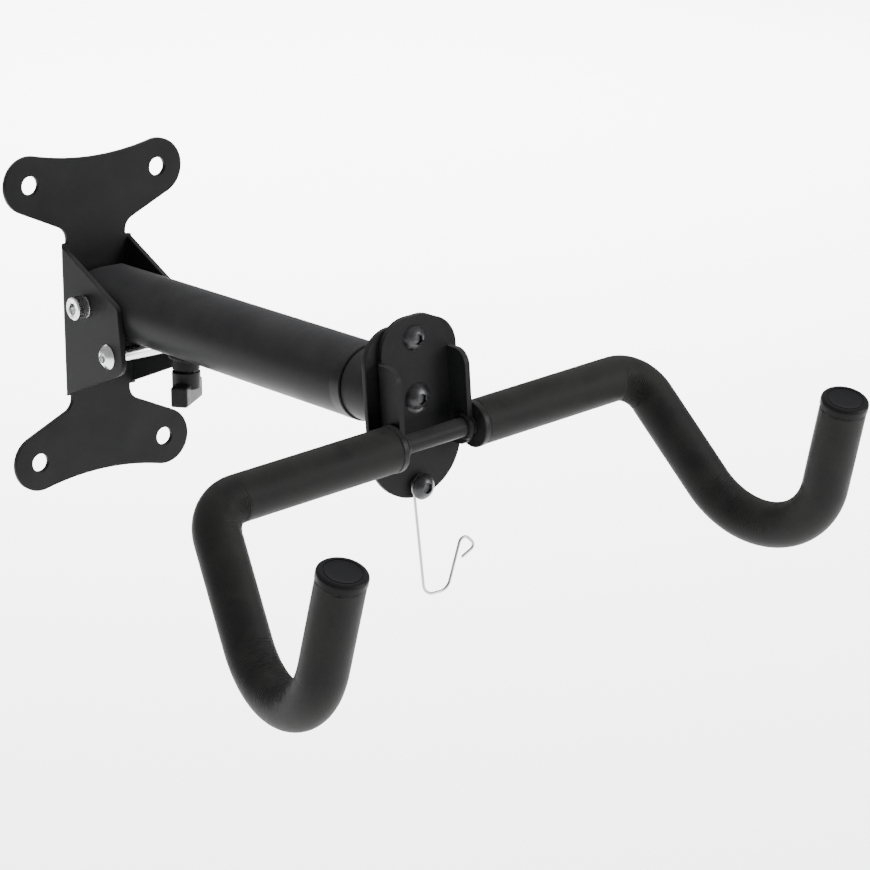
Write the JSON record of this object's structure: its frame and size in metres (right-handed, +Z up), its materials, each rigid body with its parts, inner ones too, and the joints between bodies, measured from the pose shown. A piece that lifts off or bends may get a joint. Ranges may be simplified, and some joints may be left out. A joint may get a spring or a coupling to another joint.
{
  "type": "bicycle wall rack",
  "caption": "Wall-mounted bicycle rack: a bolted plate, a fold-up tube arm and a swivelling head with two foam-covered hooks.",
  "frame": {"origin": "middle of the four wall-screw holes, on the back face of the wall plate", "axes": "+Z up, +Y into the wall, the arm points along -Y, +X to the right seen from the room"},
  "size_m": [0.3426, 0.438, 0.1939],
  "materials": {
    "black_powder_coat": "satin black powder coat",
    "black_foam": "smooth closed-cell foam sleeve, matt",
    "gloss_black_plastic": "gloss black moulded cap",
    "black_plastic": "fine-grained black plastic",
    "zinc_steel": "bright zinc plate",
    "black_screw_steel": "black oxide",
    "bright_wire": "bright drawn wire"
  },
  "bodies": {
    "wall": {"wall_plate": "black_powder_coat", "pivot_bolt": "zinc_steel", "pivot_washer": "zinc_steel", "pivot_nut": "zinc_steel", "rest_bolt": "zinc_steel", "rest_washer": "zinc_steel", "rest_nut": "zinc_steel"},
    "arm": {"arm_tube": "black_powder_coat", "pivot_sleeve": "zinc_steel", "clamp_boss": "black_powder_coat", "front_bush": "black_plastic", "rear_bush": "black_plastic"},
    "screw": {"clamp_screw": "black_screw_steel"},
    "handle": {"clamp_handle": "black_plastic"},
    "head": {"swivel_tube": "black_powder_coat", "head_plate": "black_powder_coat", "hook_bracket": "black_powder_coat", "bar_welds": "black_powder_coat", "hook_bar": "black_powder_coat", "left_grip": "black_foam", "right_grip": "black_foam", "left_end_cap": "gloss_black_plastic", "right_end_cap": "gloss_black_plastic", "grip_collars": "black_plastic", "head_top_bolt": "black_screw_steel", "head_middle_bolt": "black_screw_steel", "head_nuts": "black_screw_steel", "catch_bolt": "black_screw_steel", "catch_nut": "black_screw_steel"},
    "catch": {"wire_catch": "bright_wire"}
  },
  "joints": [
    {"name": "arm_fold", "type": "hinge", "parent": "wall", "child": "arm", "pos_m": [0, -0.024, 0.0122], "axis": [-1, 0, 0], "range_deg": [0, 80]},
    {"name": "head_roll", "type": "hinge", "parent": "arm", "child": "head", "pos_m": [0, -0.241, 0.0122], "axis": [0, 1, 0], "range_deg": [-36, 44]},
    {"name": "screw_travel", "type": "slide", "parent": "arm", "child": "screw", "axis": [0, 0, -1], "range_m": [0, 0.0019]},
    {"name": "handle_turn", "type": "hinge", "parent": "screw", "child": "handle", "pos_m": [0, -0.087, -0.02], "axis": [0, 0, -1], "range_deg": [0, 540]},
    {"name": "catch_swing", "type": "hinge", "parent": "head", "child": "catch", "pos_m": [0.00324, -0.28525, -0.03419], "axis": [0, 1, 0], "range_deg": [-60, 60]}
  ],
  "couplings": [
    {"joint": "screw_travel", "follows": "handle_turn", "m_per_rad": 0.00019894}
  ]
}
